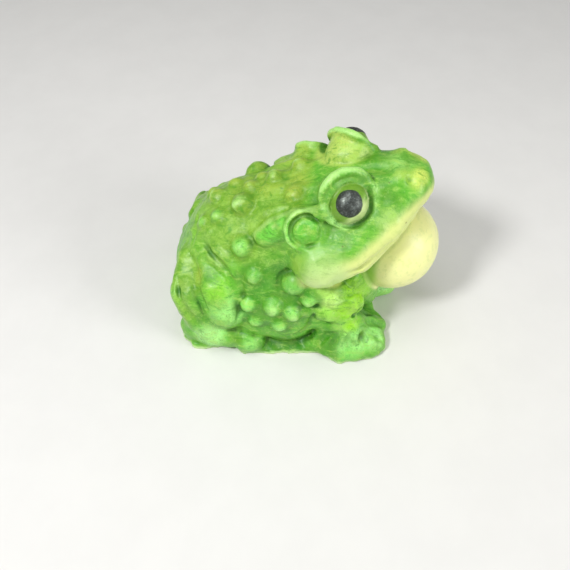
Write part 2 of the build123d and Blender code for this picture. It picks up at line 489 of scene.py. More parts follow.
def base(clay):
    """A low apron that the casting stands on: a wall at the outline, and a slope up from it."""
    x, y = np.meshgrid(clay.axes[0], clay.axes[1], indexing="ij")
    inside = np.zeros(x.shape, bool)
    nearest = np.full(x.shape, FAR)
    outline = [*BASE_OUTLINE, *((-across, back) for across, back in reversed(BASE_OUTLINE))]
    for (ax, ay), (bx, by) in zip(outline, outline[1:] + outline[:1]):
        run = max((bx - ax) ** 2 + (by - ay) ** 2, 1e-9)
        along = np.clip(((x - ax) * (bx - ax) + (y - ay) * (by - ay)) / run, 0, 1)
        nearest = np.minimum(nearest, np.hypot(x - ax - along * (bx - ax), y - ay - along * (by - ay)))
        crosses = (ay > y) != (by > y)
        with np.errstate(divide="ignore", invalid="ignore"):
            inside ^= crosses & (x < (bx - ax) * (y - ay) / (by - ay) + ax)
    edge = np.where(inside, -nearest, nearest)
    places = np.stack([x, y, 0 * x], -1)
    edge = edge + 0.15 + 0.28 * lumps(places, 2.2, 5) + 0.12 * lumps(places, 0.8, 6)
    top = clay.axes[2][None, None, :] - 0.9
    edge = edge[:, :, None]
    roof = (top + 0.4 * edge) / 1.08
    wall = edge + 0.12 * (top + 0.9)
    cells = (slice(None), slice(None), slice(0, int(7 / CELL)))
    clay.blend(cells, np.maximum(wall, roof)[cells].astype(np.float32), 0.5, False)


def wart(clay, point, size, height=0.62):
    """A round, uneven bump; the larger ones have a faint moat about them and a smaller lump on them."""
    place, out = clay.onto_skin(point)
    if size > 1.45:
        clay.ring(place + 0.4 * out, out, size * 1.15, 0.45, soft=0.5, cut=True)
    clay.knob(place, size, height * size, soft=0.6)
    if size > 1.2:
        side = unit(np.cross(out, (0.3, 1, 0.2)))
        clay.knob(place + 0.3 * size * side + 0.3 * size * out, 0.55 * size, 0.2 * size, soft=0.5)


FLANK_WARTS = (
    ((-10.3, 6.5, 16.8), 1.3), ((-10.7, 0.5, 16.4), 1.9), ((-12.2, 7.6, 11.8), 1.3),
    ((-12.6, 3.5, 12.1), 1.5), ((-12.5, 0.5, 11), 1.4), ((-13.4, 2.5, 8), 1.35), ((-13, 6.4, 8.4), 1.2),
    ((-11.8, -1.9, 13.4), 1.3),
)
BACK_WARTS = (
    ((-8.4, 8.8, 20.9), 1.65), ((-2.7, 8.9, 24), 1.8), ((0.2, 8.2, 25), 1.2), ((2.2, 11, 23.6), 1.2),
    ((2.6, 6.9, 25.6), 1), ((6.5, 8, 22.4), 2), ((-3.1, 1.4, 27.4), 1.4), ((1.2, 4.6, 26.6), 1.3),
    ((2.9, 1, 27.6), 1.4), ((-3.1, 15.4, 20), 0.95), ((-3.4, 13, 21.9), 1.05), ((2.7, 14.8, 20.9), 1),
    ((0.4, 13.6, 22.4), 1.4),
)
RUMP_WARTS = (
    ((4.6, 18.6, 13.8), 1), ((5.8, 19, 12), 1), ((3.9, 20.2, 10.4), 1.2), ((1.6, 20.9, 7.4), 0.95),
    ((5.9, 19.6, 7.8), 1.2), ((3.9, 20.5, 6), 0.9),
)


def folds(clay, side):
    """Folds and grooves of the back, the flank and the hind legs."""
    shank_rise, shin_rise = (0.35, 0.4) if side == -1 else (0.1, 0.1)
    ridges = (
        (((-2.6, -1.5, 28.9), (-1.7, 1.8, 27.5), (-0.9, 5.9, 26)), 0.9, 0.4),
        (((-4.8, 6.9, 24.2), (-4.7, 4, 25.6), (-4.8, 0.6, 27)), 0.6, 0.3),
        (((-6.4, 16, 17.3), (-8.3, 12.9, 16.9), (-9.9, 10.7, 15.7), (-11, 9, 13.8)), 0.5, 0.4),
        (((-6.3, 15.1, 17.8), (-7.7, 12.4, 18.6), (-9.2, 10.2, 17.3), (-10.5, 9, 15)), 0.6, 0.5),
        (((-8.8, 19.2, 12.8), (-11.2, 18.9, 11.4), (-12.9, 17.6, 8.6), (-13.4, 16.4, 5.4)), 0.9, shank_rise),
        (((-9.4, 17.4, 13.4), (-11.4, 16.8, 11.8), (-12.8, 15.6, 9)), 1.2, shin_rise),
        (((-2.2, 17.6, 17.2), (-4.4, 15.9, 18.3), (-5.1, 14, 19.9)), 0.7, 0.35),
    )
    for points, radius, rise in ridges:
        clay.ridge([mirrored(point, side) + on_left(FAR_FOLDS, side) for point in points], radius, rise)
    creases = (
        (((-9.4, 18.9, 13.2), (-11.8, 18, 11.4), (-13, 16.6, 8.6), (-13.2, 15, 6.6)), 0.45, 0.3),
        (((-6, 17.4, 16), (-8.6, 15.9, 15.2), (-11.2, 14.7, 13.4), (-12.8, 13.6, 10.4)), 0.5, 0.35),
        (((-6, 14.8, 18.2), (-8, 12.8, 17.7), (-9.6, 10.6, 16.5), (-10.8, 9.2, 14.6)), 0.45, 0.16),
        (((-1, 16.6, 19.2), (-3.6, 16.4, 18), (-5.2, 16.6, 16.6)), 0.5, 0.3),
        (((-10.2, 9.4, 16.9), (-10.8, 8.7, 15.1), (-11.6, 8.4, 12.6), (-12.3, 8.6, 10.4), (-13.4, 9.4, 8.4)),
         0.5, 0.32),
        (((-12.6, 3, 4.9), (-12.5, 0.6, 4.6), (-11.8, -1.7, 5.8), (-11.7, -2.4, 8.4), (-12.1, -2.9, 11)),
         0.5, 0.28),
    )
    for points, radius, depth in creases:
        clay.crease(flip(points, side), radius, depth)


def hands(clay, side):
    """Grooves between the fingers, creases at the elbow, and the dimple between two of the fingers."""
    grooves = (
        ((-10.6, -9.6, 6.4), (-11.6, -10.8, 4.6), (-12.8, -11.6, 2.4)),
        ((-10.2, -10.2, 6.2), (-10.4, -12.4, 4.4), (-10.4, -14.2, 2.2)),
        ((-9.4, -10.4, 6), (-8.4, -12.4, 4.4), (-7.6, -14.6, 2.2)),
        ((-11.2, -8.6, 6.4), (-12.6, -8.6, 4.6), (-13.8, -8.8, 2.4)),
        ((-11.4, -7.4, 6.4), (-12.6, -6.4, 4.6), (-13.4, -5.8, 2.4)),
        ((-11, -6.4, 5.6), (-11.8, -4.8, 4), (-12.4, -3.8, 2.4)),
        ((-8.2, -9.8, 6.4), (-6.4, -11.4, 4.8), (-4.4, -12.8, 2.6)),
    )
    for points in grooves:
        clay.crease(flip(points, side), 0.8, 0.6, soft=0.35)
    elbow = (
        ((-11.8, -5, 12.6), (-11.5, -6.7, 12.6), (-10.7, -8.1, 12.5)),
        ((-11.2, -6, 14.6), (-10.3, -7.8, 13.7), (-8.9, -9, 12.7)),
        ((-11.5, -8.4, 9.1), (-10.5, -9.4, 9.4), (-9.7, -10.2, 10.3)),
    )
    for points in elbow:
        clay.crease(flip(points, side), 0.55, 0.45, soft=0.35)
    place, out = clay.onto_skin(mirrored((-11, -11, 4.2), side))
    clay.ball(place + 0.45 * out, 0.95, soft=0.6, cut=True)


def snout(clay):
    """The furrow along the nose, and the nostrils, each in a small swelling."""
    furrow = ((-1.2, -6.6, 31), (-0.9, -8.6, 31.4), (-0.9, -10.6, 31.8), (-1.6, -12.4, 31.9))
    clay.crease(furrow, 0.7, 0.5, soft=0.8)
    for side in (-1, 1):
        clay.knob(mirrored((-2.7, -13.6, 32.1), side), 1.3, 0.45, soft=0.5)
        place, out = clay.onto_skin(mirrored((-2.9, -14.6, 31.5), side))
        clay.ball(place + 0.1 * out, 0.55, soft=0.45, cut=True)


def uneven(clay):
    """The slight unevenness of a skin worked by hand."""
    near = np.argwhere(np.abs(clay.distance) < 1)
    places = clay.low + CELL * near
    lift = 0.15 * lumps(places, 2.6, 21) + 0.11 * lumps(places, 1.2, 22) + 0.04 * lumps(places, 0.6, 23)
    calm = 0.25 + 0.75 * np.clip(gap_to(places, SAC_CENTRE) - SAC_RADIUS - 0.6, 0, 1)
    clay.distance[tuple(near.T)] -= (lift * calm).astype(np.float32)


def sculpt():
    """The whole toad in clay, flat underneath."""
    clay = Clay((-17, -24, -1.2), (17, 24, 36))
    masses(clay)
    for side in (-1, 1):
        head(clay, side)
    clay.ball(SAC_CENTRE, SAC_RADIUS, soft=0.5)
    for side in (-1, 1):
        eye(clay, side)
        glands(clay, side)
        legs(clay, side)
    clay.bar(FAR_FINGER, soft=0.6)
    snout(clay)
    base(clay)
    for side in (-1, 1):
        folds(clay, side)
        hands(clay, side)
        for place, radius in FLANK_WARTS:
            wart(clay, mirrored(place, side) + on_left(FAR_WARTS, side), radius)
    for place, radius in BACK_WARTS + RUMP_WARTS:
        wart(clay, place, radius)
    uneven(clay)
    clay.distance = np.maximum(clay.distance, -clay.axes[2][None, None, :])
    return clay


# ---- Paint: washes dabbed on by hand, some of them painted shade and painted highlights, then crests and hollows that are part paint and part painted highlight and shade, speckle and wear from the nodes ----

GREEN = (106, 182, 62)
DEEP = (76, 150, 42)
OLIVE = (146, 190, 78)
YELLOW_OLIVE = (172, 200, 84)
DARK_OLIVE = (112, 160, 44)
EMERALD = (118, 204, 80)
MINT = (172, 242, 138)
FRESH = (158, 224, 60)
CREAM = (220, 232, 146)
SAC_CREAM = (248, 250, 176)
CHEEK_HIGHLIGHT = (200, 230, 152)
OCHRE = (166, 180, 70)
RESIN = (226, 216, 178)
EYE_GREEN = (112, 156, 58)
FACE_GREEN = (92, 158, 52)
SHADE = (62, 136, 34)
FLANK_CROWN = (156, 236, 118)
MINT_CROWN = (152, 232, 112)
OLIVE_CROWN = (186, 208, 92)


def linear(colour):
    """A colour in 0 to 255 display values, as the linear values that shaders use."""
    value = np.array(colour, float) / 255
    return np.where(value <= 0.04045, value / 12.92, ((value + 0.055) / 1.055) ** 2.4)


def ease(value, low, high):
    """0 below low, 1 above high, and smooth between; low may be the larger one."""
    share = np.clip((value - low) / (high - low), 0, 1)
    return share * share * (3 - 2 * share)


# Dabs of paint, each laid over the one before: x, y, z, radius, colour and strength. Some of them are
# painted shade and painted light, as marked below.
DABS = (
    (-4, 8, 24, 9, OLIVE, 0.8), (-2, 15, 21, 6, OLIVE, 0.6), (-1.6, 1.5, 28, 3, YELLOW_OLIVE, 0.9),
    (-0.8, 5.5, 26.4, 2.6, YELLOW_OLIVE, 0.7), (-1.5, 9.6, 25.4, 2.6, YELLOW_OLIVE, 0.6),
    (-5.4, 1.2, 27, 2, DARK_OLIVE, 0.8), (-5.6, 4.6, 25.4, 1.7, DARK_OLIVE, 0.5),
    (-8.6, 3.4, 25.6, 3.4, EMERALD, 0.9), (-10.4, 4.4, 24, 2.2, MINT, 0.5),
    (-9.2, -1, 26.4, 3, (108, 190, 72), 0.8), (-3.2, -9, 31, 3.8, FACE_GREEN, 0.9),
    (-6, -11, 29.4, 3.6, FACE_GREEN, 0.9), (-9, -5, 26, 3, FACE_GREEN, 0.7),
    (1, -13, 32.4, 3.2, (158, 212, 112), 0.8), (-2.4, -13.2, 32.4, 1.3, (176, 208, 96), 0.8),
    (-2.6, -15.8, 31.4, 1.9, (216, 232, 118), 0.9), (-8, 12, 18, 2.8, OLIVE, 0.7),
    (-7.5, 18.6, 14, 5, OLIVE, 0.8), (-12, 18.6, 9, 4, OLIVE, 0.7),
    (-11.2, 17, 12.4, 1.8, (140, 176, 84), 0.6), (-10.6, 15.2, 14, 1.6, DARK_OLIVE, 0.7),
    (-9.6, 15.6, 15.2, 1.6, OCHRE, 0.6), (-12.2, 12.2, 13.6, 2.8, (146, 216, 76), 0.8),
    (-13.2, 10.4, 10.6, 3, MINT, 0.9), (-11.9, 8.2, 11.6, 1.2, OCHRE, 0.4), (-13.2, 14.4, 8, 1.6, DEEP, 0.7),
    (-13.8, 13.6, 4.4, 3, (184, 250, 150), 1), (-14, 7.4, 2.8, 1.8, MINT, 0.7),
    # The two DEEP dabs that end this line, low on the flank against the base, are painted shade under the
    # belly; so are the SHADE dabs two lines down.
    (-13.4, 9.8, 3.4, 1.4, DARK_OLIVE, 0.5), (-13, 1, 1, 3.6, DEEP, 0.8), (-13, 4, 1.4, 2.6, DEEP, 0.7),
    (-8.6, 4.8, 24.2, 2.4, (124, 212, 84), 1), (-8.8, 2.4, 26.4, 2.2, (128, 214, 90), 1),
    (-12.6, 1.3, 1.2, 3.4, SHADE, 1), (-13, 4.6, 0.8, 2, SHADE, 0.8),
    # The DEEP dab that ends this line and the one that starts the next lie under the gland's lower edge:
    # painted shade.
    (-7.1, -12.3, 27.6, 1.8, (178, 216, 126), 0.7), (-10, 5.4, 21.4, 2.2, DEEP, 0.8),
    (-10.8, 2.4, 22.6, 2.2, DEEP, 0.7), (-6.4, 5.6, 24.4, 1.4, DARK_OLIVE, 0.7),
    # Both DEEP dabs on this line, low against the base, are painted shade; the second lies between the belly
    # and the forefoot.
    (-14.3, 7.4, 1.2, 1.8, DEEP, 0.5), (-13.1, -5.9, 2.1, 2.2, DEEP, 0.7),
    # The MINT dab that starts this line is painted light on the far forefoot, which lies in shade.
    (-1.2, -14.6, 2.2, 2.6, MINT, 0.9), (-0.9, -9.4, 32.2, 1.7, DEEP, 0.5),
    (-11.4, -4.8, 13.2, 3, (206, 252, 138), 1), (-9.6, -8.4, 10.6, 2.2, (186, 240, 96), 0.9),
    (-12.4, -4.8, 10.2, 2, (160, 226, 92), 0.8), (-11.8, -7.6, 7, 2.4, (176, 238, 112), 0.7),
    (-12.8, -9.4, 4, 3.2, (172, 246, 140), 1), (-11, -13, 3.6, 2.4, MINT, 0.7),
    (-11.6, 2.6, 19, 3.6, DEEP, 0.75), (-12.6, 2, 14.6, 3, DEEP, 0.6), (-12, -1.6, 17.2, 2.4, DEEP, 0.6),
    (-11.6, 6, 14.2, 2.4, DEEP, 0.55), (-10.6, 6.6, 20.4, 2.2, DEEP, 0.5),
    (-10.4, -3.6, 15.2, 2.4, (184, 240, 118), 0.9), (-10.4, -7, 10.6, 2.2, FRESH, 0.8),
    (-9.2, -7.6, 12.8, 2.2, FRESH, 0.8), (-8.8, -7.8, 14.4, 2.2, (164, 232, 70), 1),
    # The DEEP dab that ends this line, below the forearm, is painted shade.
    (-7.6, -9.4, 12, 3.2, FRESH, 1), (-10.9, -8.4, 7.6, 1.8, FRESH, 0.9), (-12.2, -5.4, 4.6, 2.4, DEEP, 0.8),
    (-11.4, -13.2, 3.6, 2.6, MINT, 0.6), (-13.4, -9.2, 2, 2, EMERALD, 0.5),
    (-11.3, -10.8, 4.8, 0.8, DARK_OLIVE, 0.8), (-8, -12.6, 4.6, 2, EMERALD, 0.5),
)
MINT_WARTS = (0, 9, 10)   # the warts of the back that are painted mint
GLAND_EDGE = ((-7.6, 6.8, 22.6), (-6.8, 5.3, 24.4), (-6.3, 3.1, 26.2), (-6.7, 0.6, 27.8), (-7.4, -2.3, 29.3))
CHEEK = (-12.6, -3.6, 20.6)
MOUTH_HEIGHT = 19.5       # where the line of the mouth crosses the middle of the toad's length
MOUTH_SLOPE = 0.614       # and how far it rises for a millimetre towards the nose


def right_side(points):
    """The points, with those of the left side mirrored onto the right."""
    return np.c_[-np.abs(points[:, 0]), points[:, 1:]]


def on_jaws(points):
    """1 on the jaws and lips, and 0 away from them."""
    right = right_side(points).T
    return ease(np.minimum(bar_gap(*right, UPPER_JAW), bar_gap(*right, LOWER_LIP)), 1.4, 0.6)


def below_mouth(points, wander=0.0):
    """1 below the line of the mouth, and 0 above it; the line may wander up and down."""
    return ease(MOUTH_HEIGHT - MOUTH_SLOPE * points[:, 1] - points[:, 2] + wander, -1, 1.2)


def on_sac(points):
    """1 on the throat sac, and 0 away from it."""
    return ease(gap_to(points, SAC_CENTRE) - SAC_RADIUS, 0.9, 0.3)


def on_eyeball(points, side):
    """1 on an eyeball, and 0 away from it."""
    centre, axis = eye_place(side)
    return ease(gap_to(points, centre + EYEBALL_RISE * axis) - EYEBALL_RADIUS, 0.25, 0.1)


def washes(points):
    """The hand-laid colour at each place, with some painted shade and painted highlights among it, in linear
    values.
    """
    drift = np.stack([lumps(points, 2.4, 31 + i) for i in range(3)], 1)
    drifted = right_side(points + 0.7 * drift)
    colour = np.tile(linear(GREEN), (len(points), 1))

    def lay(share, paint):
        """Lays some paint over the colour so far."""
        colour[:] = colour + share[:, None] * (linear(paint) - colour)

    for *place, radius, paint, strength in DABS:
        lay(strength * ease(gap_to(drifted, place), radius * 1.25, radius * 0.35), paint)

    # Each wart gets a darker ring round it and a pale crown: part the toad's own paint, part painted shade
    # round the bump and painted highlight on its top.
    for place, size in FLANK_WARTS:
        gap = gap_to(right_side(points), place)
        lay(0.75 * ease(gap, size * 2.2, size * 1.3), DEEP)
        lay(0.9 * ease(gap, size * 1.2, size * 0.5), FLANK_CROWN)
    for i, (place, size) in enumerate(BACK_WARTS + RUMP_WARTS):
        gap = gap_to(points, place)
        lay(0.6 * ease(gap, size * 2, size * 1.2), DARK_OLIVE)
        lay(0.8 * ease(gap, size * 1.2, size * 0.5), MINT_CROWN if i in MINT_WARTS else OLIVE_CROWN)

    jaws = on_jaws(points) * ease(points[:, 1], 1, -2)
    lay(jaws * below_mouth(points, 0.5 * drift[:, 0]), CREAM)
    # A pale patch on the rear lobe of the jaw: painted highlight.
    lay(0.85 * jaws * ease(gap_to(drifted, CHEEK), 5.5, 2), CHEEK_HIGHLIGHT)
    behind_cheek = gap_to(drifted, (-12, 0.4, 21.6))
    lay(0.8 * ease(behind_cheek, 2.8, 1), OLIVE)
    far_gland = gap_to(points, (7.6, 2.4, 26.2))
    lay(0.7 * ease(far_gland, 4.6, 2.4), (178, 206, 92))
    # A pale line along the gland's upper edge: painted highlight.
    gland_edge = bar_gap(*drifted.T, [(place, 0.1) for place in GLAND_EDGE])
    lay(0.75 * ease(gland_edge, 0.75, 0.2) * ease(points[:, 0], 1, -1), (180, 224, 132))
    sac = on_sac(points)
    lay(sac, SAC_CREAM)
    # Darker green on the sac towards its back and top, under the jaw: painted shade.
    lay(0.2 * sac * ease(points[:, 1] + 0.35 * points[:, 2], -9.5, -5), (190, 224, 116))
    lay(0.9 * sac * ease(points[:, 1], -12.4, -11), (152, 208, 84))

    for side in (-1, 1):
        centre, axis = eye_place(side)
        lobe = ease(gap_to(points, centre), 5.4, 4.3)
        if side == 1:
            lay(lobe, (186, 214, 106))
            lay(0.7 * lobe * ease(points[:, 2], 31.5, 34) * ease(points[:, 1], -7, -4), (206, 212, 112))
        else:
            lay(0.9 * lobe, (104, 166, 66))
            lid = [(degrees, LID_RADIUS, 0.3, LOWER_LID_RISE) for degrees in range(200, 400, 10)]
            lower_lid = bar_gap(*points.T, lid_line(centre + LID_LIFT * eye_up(axis), axis, lid))
            lay(0.85 * ease(lower_lid, 0.5, 0.1), (170, 226, 128))
        eyeball = on_eyeball(points, side)
        lay(eyeball, EYE_GREEN)
        lower_front = (points - centre) @ unit((0.1 * side, -0.8, -0.6))
        lay(eyeball * ease(lower_front, 0.2, 1.3), (208, 228, 160))
    return colour


def spread(field, reach):
    """The field averaged over a few cells each way, twice."""
    for _ in range(2):
        for axis in range(3):
            ends = [(reach + 1, reach) if i == axis else (0, 0) for i in range(3)]
            padded = np.pad(field, ends, mode="edge")
            total = np.cumsum(padded, axis, dtype=np.float64)
            size = field.shape[axis]
            ahead = np.take(total, range(2 * reach + 1, 2 * reach + 1 + size), axis)
            behind = np.take(total, range(size), axis)
            field = ((ahead - behind) / (2 * reach + 1)).astype(np.float32)
    return field


def bend(clay, points, reach):
    """How sharply the skin bends at one scale, in 1/mm: positive on crests and negative in hollows."""
    variance = ((2 * reach + 1) ** 2 - 1) / 6 * CELL ** 2
    return (clay.read(points, spread(clay.distance, reach)) - clay.read(points)) / variance


# ---- Meshes ----


def mesh_piece(name, vertices, faces, stands_for):
    """A piece with vertices in millimetres, riding on the root body in place of a CAD node."""
    mesh = bpy.data.meshes.new(name)
    mesh.from_pydata((vertices * UNIT).tolist(), [], faces)
    mesh.validate()
    mesh.update()
    mesh.polygons.foreach_set("use_smooth", [True] * len(mesh.polygons))
    piece = bpy.data.objects.new(name, mesh)
    bpy.context.scene.collection.objects.link(piece)
    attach(piece, "root")
    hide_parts(stands_for)
    return piece


def add_values(piece, name, values, kind="FLOAT", field="value"):
    """Gives each vertex a number, or a colour, that the material reads by name."""
    attribute = piece.data.attributes.new(name, kind, "POINT")
    attribute.data.foreach_set(field, np.asarray(values, np.float32).ravel())


def toad_piece():
    """The toad's skin, with the values at its vertices that its paint is made from."""
    clay = sculpt()
    vertices, faces = skin_of(clay)
    for _ in range(2):
        vertices = vertices - clay.read(vertices)[:, None] * clay.slope(vertices)
    vertices[:, 2] = np.maximum(vertices[:, 2], 0)
    piece = mesh_piece("painted_toad", vertices, faces.tolist(), "toad_body")
    wash = np.c_[washes(vertices), np.ones(len(vertices))]
    add_values(piece, "wash", wash, "FLOAT_COLOR", "color")

    normals = clay.slope(vertices)
    fine = bend(clay, vertices, 2)
    broad = bend(clay, vertices, 6)
    # How shut in each place is by the skin near it; this dims the crests and darkens the hollows below as
    # painted shade.
    reaches = (0.7, 1.6, 3.2)
    shut_in = sum(1 - np.clip(clay.read(vertices + reach * normals) / reach, 0, 1) for reach in reaches) / 3
    near_eye = ease(gap_to(vertices, eye_place(-1)[0]), 5.8, 4.8)
    # Pale crests: part dry-brushed paint on the high points, part painted highlight.
    crest = np.clip(0.6 * ease(fine, 0.3, 1.5) + 0.6 * ease(broad, 0.2, 0.8) - 0.8 * shut_in, 0, 1)
    add_values(piece, "crest", crest * (1 - 0.6 * near_eye))
    # Dark hollows: part wash gathered in the creases, part painted shade in creases and shut-in places.
    hollow = np.clip(0.75 * ease(-fine, 0.15, 1.5) + 0.7 * ease(shut_in, 0.2, 0.75), 0, 1)
    add_values(piece, "hollow", hollow * (1 - 0.4 * near_eye))

    cheek = ease(gap_to(right_side(vertices), CHEEK), 6, 4)
    plain = np.maximum(on_sac(vertices), on_jaws(vertices) * np.maximum(below_mouth(vertices), 0.6 * cheek))
    for side in (-1, 1):
        plain = np.maximum(plain, on_eyeball(vertices, side))
    add_values(piece, "plain", plain)
    add_values(piece, "rim", ease(vertices[:, 2], 0.9, 0.25) * ease(normals[:, 2], -0.5, 0))
    add_values(piece, "underside", ease(normals[:, 2], -0.6, -0.9) * ease(vertices[:, 2], 0.3, 0.05))
    return piece


GAZE = unit((-0.75, -0.12, 0.65))
PUPIL_RADIUS = 1.9
PUPIL_RISE = 1.0     # the dome's height above its rim
PUPIL_SINK = 1.0     # the shank's depth below the rim
POLE_RADIUS = 0.001  # the small hole that closes at either end of the profile
BEAD_RINGS = 14
BEAD_SIDES = 56


def bead_piece(name, node, side):
    """A low metallic dome with a short shank, slightly out of round, put where the CAD has the bead."""
    gaze = mirrored(GAZE, side)
    across = unit(np.cross(gaze, (0, 0, 1)))
    over = np.cross(gaze, across)
    profile = [(POLE_RADIUS, -PUPIL_SINK)]
    for share, depth in ((0.6, PUPIL_SINK), (0.96, PUPIL_SINK), (0.985, 0.5 * PUPIL_SINK)):
        profile.append((PUPIL_RADIUS * share, -depth))
    for i in range(BEAD_RINGS):
        turn = math.radians(90 * i / BEAD_RINGS)
        profile.append((PUPIL_RADIUS * math.cos(turn), PUPIL_RISE * math.sin(turn) ** 1.25))
    profile.append((POLE_RADIUS, PUPIL_RISE))
    turns = np.arange(BEAD_SIDES) * 2 * math.pi / BEAD_SIDES
    wander = 1 + 0.012 * np.sin(2 * turns + side) + 0.008 * np.sin(5 * turns)
    vertices = []
    for radius, height in profile:
        ring = radius * wander
        around = np.cos(turns)[:, None] * across + np.sin(turns)[:, None] * over
        vertices.append(ring[:, None] * around + height * gaze)
    vertices = np.concatenate(vertices)
    dome = ease(vertices @ gaze, 0.05, 0.5)
    vertices = vertices + (0.025 * lumps(vertices, 0.42, 41 + side) * dome)[:, None] * gaze
    faces = []
    for ring in range(len(profile) - 1):
        for i in range(BEAD_SIDES):
            a, b = ring * BEAD_SIDES + i, ring * BEAD_SIDES + (i + 1) % BEAD_SIDES
            faces.append((a, b, b + BEAD_SIDES, a + BEAD_SIDES))
    faces.append(tuple(reversed(range(BEAD_SIDES))))
    faces.append(tuple((len(profile) - 1) * BEAD_SIDES + i for i in range(BEAD_SIDES)))
    low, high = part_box(node)
    middle = np.array((low + high) / 2) / UNIT
    vertices = vertices + middle - (vertices.min(0) + vertices.max(0)) / 2
    return mesh_piece(name, vertices, faces, node)


# ---- Materials ----


class Nodes:
    """Short ways to add and join shader nodes."""

    def __init__(self, name):
        self.material = bpy.data.materials.new(name)
        self.material.use_nodes = True
        self.tree = self.material.node_tree
        self.shader = self.tree.nodes["Principled BSDF"]
        self.places = self.tree.nodes.new("ShaderNodeTexCoord").outputs["Object"]

    def join(self, socket, value):
        """Gives a socket a link, a colour in display values, or a number."""
        if isinstance(value, bpy.types.NodeSocket):
            self.tree.links.new(value, socket)
        elif isinstance(value, tuple) and len(value) == 3:
            socket.default_value = (*linear(value), 1)
        else:
            socket.default_value = value

    def attribute(self, name, output="Fac"):
        """A number or a colour that the mesh has at each vertex."""
        node = self.tree.nodes.new("ShaderNodeAttribute")
        node.attribute_name = name
        return node.outputs[output]

    def noise(self, size, detail=3.0, rough=0.6, warp=0.0, stretch=None):
        """Cloudy noise with features of about a size in millimetres; a stretch below 1 draws them out."""
        node = self.tree.nodes.new("ShaderNodeTexNoise")
        places = self.places
        if stretch:
            scaled = self.tree.nodes.new("ShaderNodeVectorMath")
            scaled.operation = "MULTIPLY"
            self.join(scaled.inputs[0], self.places)
            scaled.inputs[1].default_value = stretch
            places = scaled.outputs["Vector"]
        self.join(node.inputs["Vector"], places)
        for name, number in (("Scale", 1 / (size * UNIT)), ("Detail", detail), ("Roughness", rough),
                             ("Distortion", warp)):
            node.inputs[name].default_value = number
        return node.outputs["Fac"]

    def cells(self, size):
        """Distance to the nearest of scattered points, which are about a size in millimetres apart."""
        node = self.tree.nodes.new("ShaderNodeTexVoronoi")
        self.join(node.inputs["Vector"], self.places)
        node.inputs["Scale"].default_value = 1 / (size * UNIT)
        return node.outputs["Distance"]

    def step(self, value, low, high, bottom=0.0, top=1.0):
        """Maps low..high to bottom..top, smoothly and clamped."""
        node = self.tree.nodes.new("ShaderNodeMapRange")
        node.interpolation_type = "SMOOTHSTEP"
        self.join(node.inputs["Value"], value)
        for name, number in (("From Min", low), ("From Max", high), ("To Min", bottom), ("To Max", top)):
            node.inputs[name].default_value = number
        return node.outputs["Result"]

    def maths(self, how, one, other):
        """Two numbers put together in a given way."""
        node = self.tree.nodes.new("ShaderNodeMath")
        node.operation = how
        self.join(node.inputs[0], one)
        self.join(node.inputs[1], other)
        return node.outputs[0]

    def plus(self, one, other):
        return self.maths("ADD", one, other)

    def times(self, one, other):
        return self.maths("MULTIPLY", one, other)

    def over(self, colour, tint, share):
        """A colour with a share of a tint over it."""
        node = self.tree.nodes.new("ShaderNodeMix")
        node.data_type = "RGBA"
        self.join(node.inputs["Factor"], share)
        self.join(node.inputs[6], colour)
        self.join(node.inputs[7], tint)
        return node.outputs[2]

    def richer(self, colour, saturation):
        """A colour with its saturation multiplied."""
        node = self.tree.nodes.new("ShaderNodeHueSaturation")
        node.inputs["Saturation"].default_value = saturation
        self.join(node.inputs["Color"], colour)
        return node.outputs["Color"]

    def bump(self, height, strength, depth):
        """Tooth in the surface, of a depth in millimetres."""
        node = self.tree.nodes.new("ShaderNodeBump")
        node.inputs["Strength"].default_value = strength
        node.inputs["Distance"].default_value = depth * UNIT
        self.join(node.inputs["Height"], height)
        self.join(self.shader.inputs["Normal"], node.outputs["Normal"])

    def set(self, values):
        """Sets shader inputs that are the same all over the piece."""
        for name, value in values.items():
            self.shader.inputs[name].default_value = value


